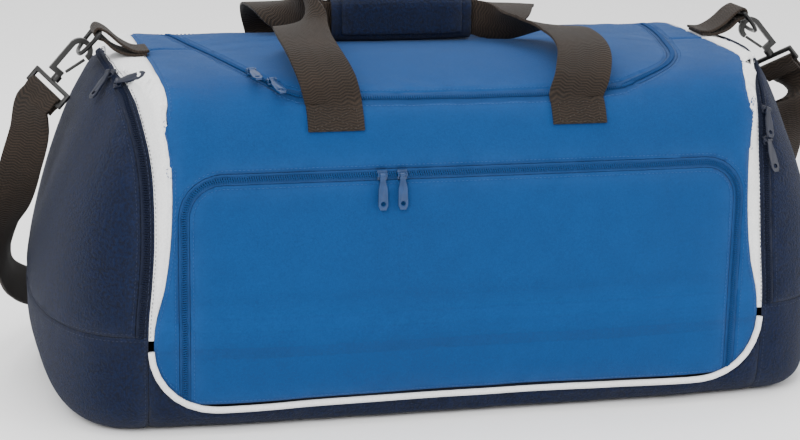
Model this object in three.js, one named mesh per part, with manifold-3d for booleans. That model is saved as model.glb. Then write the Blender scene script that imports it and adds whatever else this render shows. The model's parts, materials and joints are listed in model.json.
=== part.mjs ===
// A large duffel bag: a lofted fabric shell cut into its sewn panels, zipped flaps with sliders and
// pulls, webbing handles with a wrapped grip, and a shoulder strap on two snap hooks.
// Millimetres, +Z up. X runs along the bag, the front faces -Y, the origin is the middle of the base.
import * as THREE from 'three';
import { mergeVertices } from 'three/addons/utils/BufferGeometryUtils.js';
import Module from 'manifold-3d';

const wasm = await Module();
wasm.setup();

// ---------------------------------------------------------------- driving dimensions
const GAP = 0.3; // between pieces that are sewn or lie together
const WALL = 3; // padded fabric of the shell
const HALF_DEPTH = 176; // of the middle of the bag
const WAIST = 105; // height of the widest line
const RISE = 211; // from the widest line to the top
const DROP = 108; // from the widest line to the base, before the base is flattened
const END_X = 380; // how far each end bulges
const ROUND = 28; // steps round a section
const RINGS = 24; // steps along the bag, a quarter of them on each end
const EDGE_HEIGHTS = [-30, 88, 135, 180, 240, 290, 303, 310, 316, 350];
const END_SEAM = {
  '-1': [287.6, 287.6, 284, 281, 281.5, 290, 296, 303, 310, 322],
  1: [287.6, 287.6, 284, 281, 281.5, 291, 300, 309, 318, 336],
}; // where the end panels meet the side strips, at each height
const STRIP_EDGE = {
  '-1': [283, 283, 273, 267, 265, 266, 267.5, 269, 271, 280],
  1: [283, 283, 273, 267, 265, 266, 270, 276, 286, 300],
}; // where the side strips meet the front and back panels
const HEM_Z = 25; // the piping along the bottom of the front and back panels
const HEM_RADIUS = 55;
const PIPING = 4.5;
const STRIP_START_Z = 88;
const TAPE = 4.6; // half of a zip
const FLAP_BACK = 110; // the flap's uncut edge, which it turns about
const FLAP_EDGE = [
  [-236, 110],
  [-226, 40],
  [-211, -30],
  [-199, -80],
  [-186, -110],
  [-168, -130],
  [-140, -142],
  [0, -145],
  [130, -143],
  [168, -132],
  [193, -118],
  [209, -101],
  [222, -74],
  [234, -25],
  [246, 30],
  [258, 110],
]; // the line of the main zip seen from above
const POCKET = { left: -256, right: 256, top: 231, bottom: 27.5, radius: 34, depth: 14 };
const END_DOOR = { seam: 6.6, bottom: 92, depth: 13 };
const LINING = 2;
const HANDLE_WIDTH = 50;
const GRIP_WIDTH = 33; // the webbing folded inside the grip
const WEBBING = 2.4;
const GRIP = { from: -95, to: 41, z: 342, halfDepth: 13, halfHeight: 20, wall: 2 };
const STRAP_WIDTH = 38;

// ---------------------------------------------------------------- colours
const fabric = (color) => ({ color, roughness: 0.85, metalness: 0 });
const ROYAL = fabric(0x1f62a0);
const NAVY = fabric(0x10294f);
const WHITE = fabric(0xf2f3f4);
const LINING_CLOTH = fabric(0x1a2233);
const WEB = fabric(0x2b2623);
const BLACK_PLASTIC = { color: 0x131315, roughness: 0.4, metalness: 0 };
const ROYAL_PLASTIC = { color: 0x1b5796, roughness: 0.45, metalness: 0 };
const NAVY_PLASTIC = { color: 0x142c52, roughness: 0.45, metalness: 0 };
const STEEL = { color: 0x2a2a2c, roughness: 0.35, metalness: 0.8 };
const BOARD = { color: 0x15171c, roughness: 0.7, metalness: 0 };

// ---------------------------------------------------------------- solids
function solid(geometry) {
  const bare = new THREE.BufferGeometry();
  const flat = geometry.index ? geometry.toNonIndexed() : geometry;
  bare.setAttribute('position', flat.getAttribute('position'));
  const merged = mergeVertices(bare, 1e-4);
  return new wasm.Manifold(
    new wasm.Mesh({
      numProp: 3,
      vertProperties: new Float32Array(merged.getAttribute('position').array),
      triVerts: new Uint32Array(merged.index.array),
    }),
  );
}

function geometryOf(body) {
  const mesh = body.getMesh();
  const geometry = new THREE.BufferGeometry();
  geometry.setAttribute('position', new THREE.BufferAttribute(new Float32Array(mesh.vertProperties), 3));
  geometry.setIndex(new THREE.BufferAttribute(new Uint32Array(mesh.triVerts), 1));
  return geometry;
}

const bag = new THREE.Group();
const simplify = (body) => body.simplify(0.12);

function add(name, shape, look, parent = bag) {
  const geometry = shape.isBufferGeometry ? shape : geometryOf(simplify(shape));
  const mesh = new THREE.Mesh(geometry, new THREE.MeshStandardMaterial(look));
  mesh.name = name;
  parent.add(mesh);
  return mesh;
}

// ---------------------------------------------------------------- the bag's skin
function edgeAt(table, z) {
  const curve = new THREE.SplineCurve(table.map((x, i) => new THREE.Vector2(x, EDGE_HEIGHTS[i])));
  const points = curve.getPoints(70);
  const i = Math.max(1, points.findIndex((p) => p.y >= z));
  const [a, b] = [points[i - 1], points[i]];
  return THREE.MathUtils.lerp(a.x, b.x, THREE.MathUtils.clamp((z - a.y) / (b.y - a.y), 0, 1));
}
const edgeTable = (rows) => Array.from({ length: 400 }, (_, i) => edgeAt(rows, i - 35));
const seamTables = { '-1': edgeTable(END_SEAM['-1']), 1: edgeTable(END_SEAM[1]) };
const stripTables = { '-1': edgeTable(STRIP_EDGE['-1']), 1: edgeTable(STRIP_EDGE[1]) };
function lookUp(table, z) {
  const at = THREE.MathUtils.clamp(z + 35, 0, 398);
  const i = Math.floor(at);
  return THREE.MathUtils.lerp(table[i], table[i + 1], at - i);
}
const seamX = (side, z) => lookUp(seamTables[side], z);
const stripX = (side, z) => lookUp(stripTables[side], z);

// A point of the skin: along is -1 to 1 between the end seams and goes on to -2 and 2 at the tips
// of the ends, angle goes round the section from the front over the top.
function skinPoint(along, angle, inset = 0) {
  const side = along < 0 ? -1 : 1;
  const within = Math.min(Math.abs(along), 1);
  const toEdge = THREE.MathUtils.smoothstep(within, 0.72, 0.92);
  const toSeam = THREE.MathUtils.smoothstep(within, 0.92, 1);
  const half = HALF_DEPTH - 4 * toEdge - 2 * toSeam - inset;
  const top = THREE.MathUtils.lerp(4.8 + 1.2 * toEdge, 3.1, toSeam);
  const [c, s] = [Math.cos(angle), Math.sin(angle)].map((v) => (Math.abs(v) < 1e-9 ? 0 : v));
  const power = s > 0 ? 2 / top : 2 / 9;
  const reach = (s > 0 ? RISE - 4 * toSeam : DROP) - inset;
  let y = -half * Math.sign(c) * Math.abs(c) ** power;
  let rise = reach * Math.sign(s) * Math.abs(s) ** power;
  const seam = seamX(side, Math.max(0, WAIST + rise));
  let x = within * seam;
  const t = Math.max(0, Math.abs(along) - 1);
  if (t > 0) {
    const shrink = (k) => (t > 1 - 1e-9 ? 0 : (1 - t ** k) ** (1 / k));
    x = seam + (END_X - inset - seam) * t;
    y *= shrink(2.3);
    rise *= shrink(s > 0 ? 1.35 : 3.5);
  }
  return new THREE.Vector3(side * x, y, Math.max(inset, WAIST + rise));
}

function skin(inset) {
  const ball = new THREE.SphereGeometry(1, ROUND, RINGS).toNonIndexed();
  const at = ball.getAttribute('position');
  for (let i = 0; i < at.count; i++) {
    const p = new THREE.Vector3().fromBufferAttribute(at, i);
    const along = 2 * ((2 * Math.acos(THREE.MathUtils.clamp(p.y, -1, 1))) / Math.PI - 1);
    const over = Math.abs(along) - 1;
    const eased =
      over > 0
        ? Math.sign(along) * (1 + Math.sin((over * Math.PI) / 2))
        : Math.sin((along * Math.PI) / 2);
    const q = skinPoint(eased, Math.atan2(p.z, -p.x), inset);
    at.setXYZ(i, q.x, q.y, q.z);
  }
  return solid(ball);
}

function skinNormal(along, angle) {
  const a = skinPoint(along + 1e-3, angle).sub(skinPoint(along - 1e-3, angle));
  const b = skinPoint(along, angle + 1e-3).sub(skinPoint(along, angle - 1e-3));
  const n = a.cross(b).normalize();
  return n.dot(skinPoint(along, angle).setComponent(2, skinPoint(along, angle).z - WAIST)) < 0
    ? n.negate()
    : n;
}

const skins = {};
const filled = (inset) => (skins[inset] ??= skin(inset));
const layer = (outer, inner) => filled(outer).subtract(filled(inner));
const shell = layer(0, WALL);

// ---------------------------------------------------------------- cutting outlines
function prism(points, from, to, across = false) {
  const shape = new THREE.Shape(points.map(([x, y]) => new THREE.Vector2(x, y)));
  const geometry = new THREE.ExtrudeGeometry(shape, { depth: to - from, bevelEnabled: false });
  if (across) geometry.rotateX(Math.PI / 2).translate(0, to, 0);
  else geometry.translate(0, 0, from);
  return solid(geometry);
}
const block = (x0, x1, y0, y1, z0, z1) =>
  solid(
    new THREE.BoxGeometry(x1 - x0, y1 - y0, z1 - z0).translate((x0 + x1) / 2, (y0 + y1) / 2, (z0 + z1) / 2),
  );
const arc = (x, y, r, from, to, steps = 7) =>
  Array.from({ length: steps + 1 }, (_, i) => {
    const a = THREE.MathUtils.degToRad(from + ((to - from) * i) / steps);
    return [x + r * Math.cos(a), y + r * Math.sin(a)];
  });
const climb = (from, to, step = 12) => {
  const n = Math.ceil((to - from) / step);
  return Array.from({ length: n + 1 }, (_, i) => from + ((to - from) * i) / n);
};

// Seen from the front: everything between the two end seams, each moved out by grow.
function betweenEnds(grow) {
  const right = climb(-20, 350).map((z) => [seamX(1, z) + grow, z]);
  const left = climb(-20, 350).map((z) => [-seamX(-1, z) - grow, z]);
  return prism([...right, ...left.reverse()], -260, 260, true);
}
// Seen from the front: the outline of the front and back panels.
function panelOutline(grow) {
  const r = HEM_RADIUS + grow;
  const cx = STRIP_EDGE[1][0] - HEM_RADIUS;
  const cz = HEM_Z + HEM_RADIUS;
  const right = climb(cz + 6, 350).map((z) => [stripX(1, z) + grow, z]);
  const left = climb(cz + 6, 350).map((z) => [-stripX(-1, z) - grow, z]);
  return prism(
    [...arc(cx, cz, r, -90, 0), ...right, ...left.reverse(), ...arc(-cx, cz, r, 180, 270)],
    -260,
    260,
    true,
  );
}
// Seen from above: the outline of the top flap.
function flapOutline(grow) {
  const curve = new THREE.SplineCurve(FLAP_EDGE.map(([x, y]) => new THREE.Vector2(x, y)));
  const points = climb(0, 1, 1 / 36).map((u) => {
    const p = curve.getPoint(u);
    const t = curve.getTangent(u);
    return [p.x + t.y * grow, p.y - t.x * grow];
  });
  const last = points.length - 1;
  return prism([[points[0][0], 130], ...points, [points[last][0], 130]], 200, 350);
}
// Seen from the front: the outline of the front pocket.
function pocketOutline(grow, bottom = POCKET.bottom) {
  const { left, right, top, radius } = POCKET;
  return prism(
    [
      [left - grow, bottom],
      [right + grow, bottom],
      ...arc(right - radius, top - radius, radius + grow, 0, 90),
      ...arc(left + radius, top - radius, radius + grow, 90, 180),
    ],
    -260,
    -90,
    true,
  );
}

// ---------------------------------------------------------------- base, panels, strips, piping
const inEnds = betweenEnds(-GAP / 2);
const inPanels = panelOutline(-GAP / 2);
const pastPanels = panelOutline(GAP / 2);
const body = shell.intersect(inEnds);
const low = block(-420, 420, -260, 260, -20, STRIP_START_Z);
const front = block(-420, 420, -260, -GAP / 2, -20, 360);
const back = block(-420, 420, GAP / 2, 260, -20, 360);
const midwayDown = body.intersect(low);

const pipingRing = panelOutline(PIPING - GAP / 2).subtract(pastPanels);
const piping = midwayDown.intersect(pipingRing).intersect(block(-420, 420, -260, 260, 10, STRIP_START_Z));
add('front_piping', piping.intersect(front), WHITE);
add('back_piping', piping.intersect(back), WHITE);
add(
  'base_panel',
  midwayDown.subtract(panelOutline(PIPING + GAP / 2)).intersect(block(-420, 420, -260, 260, -20, 87.7)),
  NAVY,
);
const strips = body.subtract(pastPanels).subtract(block(-420, 420, -260, 260, -20, STRIP_START_Z + GAP));
add('left_side_strip', strips.intersect(block(-420, 0, -260, 260, 0, 360)), WHITE);
add('right_side_strip', strips.intersect(block(0, 420, -260, 260, 0, 360)), WHITE);

const royal = body.intersect(inPanels);
const beforeHinge = (y) => block(-420, 420, -260, y, 150, 360);
const cutForFlap = royal.subtract(flapOutline(TAPE + GAP).intersect(beforeHinge(FLAP_BACK)));
add('back_panel', cutForFlap.intersect(back), ROYAL);
add('front_panel', cutForFlap.intersect(front).subtract(pocketOutline(TAPE + GAP, 10)), ROYAL);

const board = new THREE.Shape();
board.moveTo(-262, -140);
board.lineTo(262, -140);
board.quadraticCurveTo(276, -140, 276, -126);
board.lineTo(276, 126);
board.quadraticCurveTo(276, 140, 262, 140);
board.lineTo(-262, 140);
board.quadraticCurveTo(-276, 140, -276, 126);
board.lineTo(-276, -126);
board.quadraticCurveTo(-276, -140, -262, -140);
const boardGeometry = new THREE.ExtrudeGeometry(board, { depth: 4, bevelEnabled: false, curveSegments: 4 });
add('base_board', boardGeometry.translate(0, 0, WALL + GAP), BOARD);

// ---------------------------------------------------------------- top flap and its zip
add('top_flap', royal.intersect(flapOutline(-TAPE - GAP)).intersect(beforeHinge(FLAP_BACK - GAP)), ROYAL);
const zipped = royal.intersect(beforeHinge(FLAP_BACK - 8));
add('main_zip_flap_tape', zipped.intersect(flapOutline(-GAP / 2)).subtract(flapOutline(-TAPE)), ROYAL);
add('main_zip_body_tape', zipped.intersect(flapOutline(TAPE)).subtract(flapOutline(GAP / 2)), ROYAL);

// ---------------------------------------------------------------- front pocket
const frontShell = royal.intersect(block(-420, 420, -260, -90, -20, 260));
add('front_pocket_panel', frontShell.intersect(pocketOutline(-TAPE - GAP)), ROYAL);
add(
  'front_zip_panel_tape',
  frontShell.intersect(pocketOutline(-GAP / 2)).subtract(pocketOutline(-TAPE, 0)),
  ROYAL,
);
add(
  'front_zip_body_tape',
  frontShell.intersect(pocketOutline(TAPE)).subtract(pocketOutline(GAP / 2, 0)),
  ROYAL,
);
const pocketSpace = layer(0, POCKET.depth).intersect(pocketOutline(TAPE + 2));
const pocketWall = layer(WALL + GAP, POCKET.depth + LINING).intersect(
  pocketOutline(TAPE + 2 + LINING, POCKET.bottom - LINING),
);
add('front_pocket_lining', pocketWall.subtract(pocketSpace), LINING_CLOTH);

// ---------------------------------------------------------------- ends and their zipped doors
function endOutline(side, from, to, bottom) {
  const near = climb(bottom, 352).map((z) => [side * (seamX(side, z) + from), z]);
  const far = climb(bottom, 352).map((z) => [side * (to === null ? 420 : seamX(side, z) + to), z]);
  return prism([...near, ...far.reverse()], -260, 260, true);
}
for (const side of [-1, 1]) {
  const name = side < 0 ? 'left' : 'right';
  const half = side < 0 ? block(-430, 0, -260, 260, -20, 360) : block(0, 430, -260, 260, -20, 360);
  const end = shell.subtract(betweenEnds(GAP / 2)).intersect(half);
  const { seam, bottom, depth } = END_DOOR;
  add(`${name}_end_panel`, end.subtract(endOutline(side, seam - TAPE - GAP, null, bottom - GAP)), NAVY);
  add(`${name}_end_door`, end.intersect(endOutline(side, seam + TAPE + GAP, null, bottom)), NAVY);
  add(
    `${name}_zip_door_tape`,
    end.intersect(endOutline(side, seam + GAP / 2, seam + TAPE, bottom)),
    NAVY,
  );
  add(
    `${name}_zip_body_tape`,
    end.intersect(endOutline(side, seam - TAPE, seam - GAP / 2, bottom)),
    NAVY,
  );
  const wall = layer(WALL + GAP, depth + LINING).intersect(
    endOutline(side, seam - TAPE - 1 - LINING, null, bottom - 1 - LINING),
  );
  const space = layer(0, depth).intersect(endOutline(side, seam - TAPE - 1, null, bottom - 1));
  add(`${name}_end_lining`, wall.subtract(space), LINING_CLOTH);
}

// ---------------------------------------------------------------- webbing
// A flat strip bent along a curve. Each station is [x, y, z, direction of the width, width].
function webbing(stations, steps, pleats = 1) {
  const curve = new THREE.CatmullRomCurve3(
    stations.map(([x, y, z]) => new THREE.Vector3(x, y, z)),
    false,
    'centripetal',
  );
  const strip = new THREE.BoxGeometry(1, 1, 1, steps, pleats, 1).toNonIndexed();
  const at = strip.getAttribute('position');
  const last = stations.length - 1;
  const across = (u) => {
    const i = Math.min(last - 1, Math.floor(u * last));
    const f = u * last - i;
    const a = new THREE.Vector3(...stations[i][3]).normalize();
    const b = new THREE.Vector3(...stations[i + 1][3]).normalize();
    return [a.lerp(b, f).normalize(), THREE.MathUtils.lerp(stations[i][4], stations[i + 1][4], f)];
  };
  for (let i = 0; i < at.count; i++) {
    const u = at.getX(i) + 0.5;
    const along = curve.getTangent(u);
    const [side, width] = across(u);
    side.addScaledVector(along, -side.dot(along)).normalize();
    const up = new THREE.Vector3().crossVectors(along, side);
    const p = curve.getPoint(u).addScaledVector(side, at.getY(i) * width);
    p.addScaledVector(up, at.getZ(i) * WEBBING);
    at.setXYZ(i, p.x, p.y, p.z);
  }
  return solid(strip);
}

// How far the front surface stands out at a height, in the middle of the bag.
const frontY = (z) => -HALF_DEPTH * (1 - Math.abs((z - WAIST) / RISE) ** 4.8) ** (1 / 4.8);
const lift = 0.6 + WEBBING / 2;
function sewn(x, z) {
  const slope = (frontY(z + 1) - frontY(z - 1)) / 2;
  const n = new THREE.Vector2(-1, slope).normalize();
  return [x, frontY(z) + n.x * lift, z + n.y * lift];
}
const X = [1, 0, 0];
const LEG_X = [-121, 102]; // where the handles are sewn on
const SEWN_FROM = 270;
const SEWN_TO = 286.4;
const HINGE_Z = 290.2; // where the webbing leaves the fabric and bends
const leaves = sewn(0, HINGE_Z).slice(1);
const frontHandle = [
  [LEG_X[0], ...leaves, X, HANDLE_WIDTH],
  [LEG_X[0], leaves[0] + 1.2, leaves[1] + 6, X, HANDLE_WIDTH],
  [-126, -148.5, 311, X, HANDLE_WIDTH],
  [-133, -131, 330, [1, 0.1, 0], HANDLE_WIDTH],
  [-137, -94, 343, [1, 0.35, 0.05], HANDLE_WIDTH],
  [-132, -52, 348, [0.8, 0.75, 0.2], HANDLE_WIDTH],
  [-116, -20, 344, [0.2, 0.8, 0.7], 42],
  [-99, -7, GRIP.z, [0, 0.05, 1], GRIP_WIDTH],
  [-80, -5, GRIP.z, [0, 0, 1], GRIP_WIDTH],
  [-40, -5, GRIP.z, [0, 0, 1], GRIP_WIDTH],
  [0, -5, GRIP.z, [0, 0, 1], GRIP_WIDTH],
  [30, -5, GRIP.z, [0, 0, 1], GRIP_WIDTH],
  [46, -7, GRIP.z - 0.5, [0, 0, 1], GRIP_WIDTH],
  [70, -17, 336, [-0.1, -0.7, 0.75], 42],
  [96, -38, 340, [-0.65, -0.8, 0.3], HANDLE_WIDTH],
  [114, -78, 340, [-1, -0.45, 0], HANDLE_WIDTH],
  [117, -122, 330, [-1, -0.1, 0], HANDLE_WIDTH],
  [108, -148, 311, [-1, 0, 0], HANDLE_WIDTH],
  [LEG_X[1], leaves[0] + 1.2, leaves[1] + 6, [-1, 0, 0], HANDLE_WIDTH],
  [LEG_X[1], ...leaves, [-1, 0, 0], HANDLE_WIDTH],
];
const mirrored = ([x, y, z, d, w], i) => [x - (i > 13 && i < 17 ? 10 : 0), -y, z, [d[0], -d[1], d[2]], w];
add('front_handle', webbing(frontHandle, 50), WEB);
add('back_handle', webbing(frontHandle.map(mirrored), 50), WEB);
for (const [end, x] of [
  ['left', LEG_X[0]],
  ['right', LEG_X[1]],
]) {
  const rows = climb(SEWN_FROM, SEWN_TO, 6).map((z) => [...sewn(x, z), X, HANDLE_WIDTH]);
  add(`front_handle_${end}_end`, webbing(rows, 3), WEB);
  add(`back_handle_${end}_end`, webbing(rows.map(mirrored), 3), WEB);
}

// ---------------------------------------------------------------- grip
function roundedBox(halfY, halfZ, r) {
  return [
    ...arc(halfY - r, halfZ - r, r, 0, 90, 4),
    ...arc(-halfY + r, halfZ - r, r, 90, 180, 4),
    ...arc(-halfY + r, -halfZ + r, r, 180, 270, 4),
    ...arc(halfY - r, -halfZ + r, r, 270, 360, 4),
  ];
}
const alongX = (geometry, x) => geometry.rotateX(Math.PI / 2).rotateZ(Math.PI / 2).translate(x, 0, 0);
function tube(points, hole, length) {
  const shape = new THREE.Shape(points.map(([x, y]) => new THREE.Vector2(x, y)));
  if (hole) shape.holes.push(new THREE.Path(hole.map(([x, y]) => new THREE.Vector2(x, y))));
  return alongX(new THREE.ExtrudeGeometry(shape, { depth: length, bevelEnabled: false }), 0);
}
const gripOuter = roundedBox(GRIP.halfDepth, GRIP.halfHeight, 9);
const gripInner = roundedBox(GRIP.halfDepth - GRIP.wall, GRIP.halfHeight - GRIP.wall, 7);
const gripLength = GRIP.to - GRIP.from;
const sleeve = tube(gripOuter, gripInner, gripLength).translate(GRIP.from, 0, GRIP.z);
add('grip_wrap', solid(sleeve), NAVY);
const over = roundedBox(GRIP.halfDepth + 2, GRIP.halfHeight + 2, 11);
const under = roundedBox(GRIP.halfDepth + GAP, GRIP.halfHeight + GAP, 9.3);
const coverX = GRIP.from + 10;
const cover = solid(tube(over, under, gripLength - 20).translate(coverX, 0, GRIP.z));
add('grip_flap', cover.intersect(block(-200, 200, -40, 5, GRIP.z - 13, 400)), NAVY);

// ---------------------------------------------------------------- tabs, rings, snap hooks
const SIDES = {
  '-1': { name: 'left', shift: 0, y: -18 },
  1: { name: 'right', shift: 14, y: 25 },
};
const RING = { x: 313, z: 338, wire: 2, half: 22.5, bow: 26.5 }; // x and z of its straight bar
const JAW = { x: 329, z: 320, inner: 7, outer: 11.5, thick: 6 };
const SHANK = { x: 0.66, z: -0.751 }; // the way a hook points, out and down
const LOOP = { near: 36.5, far: 52.5, half: 24, rod: 4, turn: 0.75 };
const TAB_WIDTH = 36;

// A wire ring with one straight side: a torus whose inner half is pressed flat.
function dRing() {
  const { wire, half, bow } = RING;
  const ring = new THREE.TorusGeometry(10, wire, 6, 28).toNonIndexed();
  const at = ring.getAttribute('position');
  for (let i = 0; i < at.count; i++) {
    const [x, y] = [at.getX(i), at.getY(i)];
    const a = Math.atan2(y, x);
    const [c, s] = [Math.cos(a), Math.sin(a)];
    const push = Math.hypot(x, y) - 10;
    const [cx, cy] = [c > 0 ? bow * c ** 0.8 : 0, half * Math.sign(s) * Math.abs(s) ** 0.7];
    const flat = c > 0 ? 1 : Math.max(0, 1 + 3 * c);
    at.setXY(i, cx + push * (c > 0 ? c : -1 + flat), cy + push * s);
  }
  return ring;
}
const band = (inner, outer, from, to) => [...arc(0, 0, outer, from, to, 14), ...arc(0, 0, inner, to, from, 14)];
function plate(points, thick) {
  const shape = new THREE.Shape(points.map(([x, y]) => new THREE.Vector2(x, y)));
  const geometry = new THREE.ExtrudeGeometry(shape, { depth: thick, bevelEnabled: false });
  return geometry.translate(0, 0, -thick / 2).rotateX(Math.PI / 2);
}
// A hook pointing along +X with its jaw round the origin, seen in the X-Z plane.
function snapHook() {
  const { inner, outer, thick } = JAW;
  const jaw = solid(plate(band(inner, outer, 78, 272), thick));
  const shank = solid(new THREE.BoxGeometry(30, thick, 4.5).translate(13.5, 0, -9.25));
  const neck = solid(new THREE.BoxGeometry(5, thick, 13.5).translate(27.5, 0, -4.75));
  const post = solid(new THREE.CylinderGeometry(4.2, 4.2, 6, 12).rotateZ(Math.PI / 2).translate(33, 0, 0));
  return jaw.add(shank).add(neck).add(post);
}
const gate = () =>
  new THREE.BoxGeometry(20.6, 3, 2.6).rotateY(THREE.MathUtils.degToRad(16.5)).translate(13.8, 0, 5.6);
function strapLoop() {
  const { near, far, half, rod } = LOOP;
  const rim = (x0, x1, y) => [
    [x0, -y],
    [x1, -y],
    [x1, y],
    [x0, y],
  ];
  const points = (rows) => rows.map(([x, y]) => new THREE.Vector2(x, y));
  const shape = new THREE.Shape(points(rim(near, far, half)));
  shape.holes.push(new THREE.Path(points(rim(near + rod, far - rod, half - rod))));
  const frame = new THREE.ExtrudeGeometry(shape, { depth: rod, bevelEnabled: false });
  return frame.translate(0, 0, -rod / 2).rotateX(Math.PI / 2);
}
// The strap's end in its loop: [along the hook from the rod, off the loop's plane], from the tail.
const STRAP_END = [
  [12, 2.6],
  [7, 2.6],
  [0, 3.8],
  [-4.1, 1.9],
  [-4.1, -1.9],
  [0, -3.8],
  [7, -2.6],
  [16, -2.6],
];
const strapEnds = {};
for (const side of [-1, 1]) {
  const { name, shift, y } = SIDES[side];
  const bar = new THREE.Vector3(side * (RING.x + shift), y, RING.z);
  const jaw = new THREE.Vector3(side * (JAW.x + shift), y, JAW.z);
  const tab = [
    [-43, -20.1],
    [-27, -20.1],
    [-14, -15.3],
    [-4, -6.5],
    [1.5, -4.3],
    [4.2, 0],
    [1.4, 4.2],
    [-6, 1.5],
    [-20, -10.5],
    [-33, -17.2],
    [-45, -17.2],
  ].map(([x, z]) => [bar.x + side * x, y, bar.z + z, [0, 1, 0], TAB_WIDTH]);
  add(`${name}_tab`, webbing(tab, 30), WEB);
  const placed = (origin, xAxis, zAxis, parent = bag) => {
    const group = new THREE.Group();
    const yAxis = new THREE.Vector3().crossVectors(zAxis, xAxis);
    group.matrixAutoUpdate = false;
    group.matrix.makeBasis(xAxis, yAxis, zAxis).setPosition(origin);
    parent.add(group);
    return group;
  };
  const drop = jaw.clone().sub(bar).normalize();
  const ringGroup = placed(bar, drop, new THREE.Vector3(-side * drop.z, 0, side * drop.x));
  add(`${name}_d_ring`, dRing(), STEEL, ringGroup);
  const out = new THREE.Vector3(side * SHANK.x, 0, SHANK.z);
  const inward = new THREE.Vector3(side * SHANK.z, 0, -SHANK.x);
  const hookGroup = placed(jaw, out, inward);
  add(`${name}_hook`, snapHook(), BLACK_PLASTIC, hookGroup);
  add(`${name}_hook_gate`, gate(), BLACK_PLASTIC, hookGroup);
  const swivel = new THREE.Group();
  swivel.rotation.x = LOOP.turn;
  hookGroup.add(swivel);
  add(`${name}_strap_loop`, strapLoop(), BLACK_PLASTIC, swivel);
  bag.updateMatrixWorld(true);
  const width = new THREE.Vector3(0, 0, 1).transformDirection(swivel.matrixWorld).toArray();
  strapEnds[side] = STRAP_END.map(([u, n]) => {
    const p = swivel.localToWorld(new THREE.Vector3(LOOP.far - LOOP.rod / 2 + u, n, 0));
    return [p.x, p.y, p.z, width, STRAP_WIDTH];
  });
}

// ---------------------------------------------------------------- shoulder strap
const leftStrap = [
  [-377, -22, 246, [0.8, -0.45, -0.4], STRAP_WIDTH],
  [-386, -22, 214, [0.97, -0.1, -0.2], STRAP_WIDTH],
  [-394, -14, 180, [0.95, 0.3, 0], STRAP_WIDTH],
  [-401, 6, 146, [0.7, 0.6, 0.4], STRAP_WIDTH],
  [-400, 42, 108, [0.3, 0.5, 0.8], STRAP_WIDTH],
  [-390, 96, 74, [0.05, 0.4, 0.9], STRAP_WIDTH],
  [-357, 165, 42, [0, 0, 1], STRAP_WIDTH],
  [-300, 214, 24, [-0.1, 0.5, 0.85], STRAP_WIDTH],
  [-226, 240, 8, [0, 0.95, 0.3], STRAP_WIDTH],
  [-140, 246, 2, [0, 1, 0], STRAP_WIDTH],
];
const rightStrap = [
  [60, 248, 2, [0, 1, 0], STRAP_WIDTH],
  [150, 246, 2, [0, 1, 0], STRAP_WIDTH],
  [236, 242, 8, [0, 0.95, 0.3], STRAP_WIDTH],
  [306, 218, 24, [0.1, 0.5, 0.85], STRAP_WIDTH],
  [358, 176, 46, [0, 0, 1], STRAP_WIDTH],
  [388, 126, 84, [-0.1, -0.1, 0.9], STRAP_WIDTH],
  [399, 92, 122, [-0.5, -0.3, 0.7], STRAP_WIDTH],
  [402, 68, 156, [-0.9, -0.4, 0.1], STRAP_WIDTH],
  [400, 48, 194, [-0.95, -0.2, 0.1], STRAP_WIDTH],
  [394, 34, 228, [-0.9, 0.1, 0.3], STRAP_WIDTH],
];
const turned = strapEnds[1].map(([x, y, z, [a, b, c], w]) => [x, y, z, [-a, -b, -c], w]).reverse();
add('shoulder_strap', webbing([...strapEnds[-1], ...leftStrap, ...rightStrap, ...turned], 150, 3), WEB);

// ---------------------------------------------------------------- zip sliders and pulls
// Each slider sits on the skin at a point, with its pull lying towards a direction.
function addSlider(name, at, normal, towards, look, tilt = 0) {
  const group = new THREE.Group();
  const back = towards.clone().addScaledVector(normal, -towards.dot(normal)).normalize().negate();
  const across = new THREE.Vector3().crossVectors(back, normal);
  group.matrix.makeBasis(across, back, normal).setPosition(at.clone().addScaledVector(normal, GAP));
  group.matrixAutoUpdate = false;
  bag.add(group);
  const base = solid(new THREE.BoxGeometry(8.6, 8.4, 2).translate(0, 0, 1));
  const posts = [-1, 1].map((s) => solid(new THREE.BoxGeometry(1.4, 3.4, 3.4).translate(s * 3.6, 0, 3.2)));
  const pin = solid(new THREE.CylinderGeometry(0.8, 0.8, 7, 10).rotateZ(Math.PI / 2).translate(0, 0, 4));
  add(`${name}_slider`, base.add(posts[0]).add(posts[1]).add(pin), look, group);
  const pullGroup = new THREE.Group();
  pullGroup.position.set(0, 0, 4);
  pullGroup.rotation.set(tilt, 0, 0);
  group.add(pullGroup);
  const eye = solid(new THREE.CylinderGeometry(1.9, 1.9, 5, 12).rotateZ(Math.PI / 2));
  const bore = solid(new THREE.CylinderGeometry(1.15, 1.15, 6, 12).rotateZ(Math.PI / 2));
  const outline = new THREE.Shape(
    [
      [-2.5, -1.2],
      [-2.5, -6],
      [-4, -12],
      [-4.4, -27],
      [-2.6, -31],
      [2.6, -31],
      [4.4, -27],
      [4, -12],
      [2.5, -6],
      [2.5, -1.2],
    ]
      .reverse()
      .map(([x, y]) => new THREE.Vector2(x, y)),
  );
  const eyelet = arc(0, -25.5, 2.2, 0, 330, 11).map(([x, y]) => new THREE.Vector2(x, y));
  outline.holes.push(new THREE.Path(eyelet));
  const tongue = new THREE.ExtrudeGeometry(outline, { depth: 1.8, bevelEnabled: false }).translate(0, 0, -0.9);
  add(`${name}_pull`, eye.add(solid(tongue)).subtract(bore), look, pullGroup);
}
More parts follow.
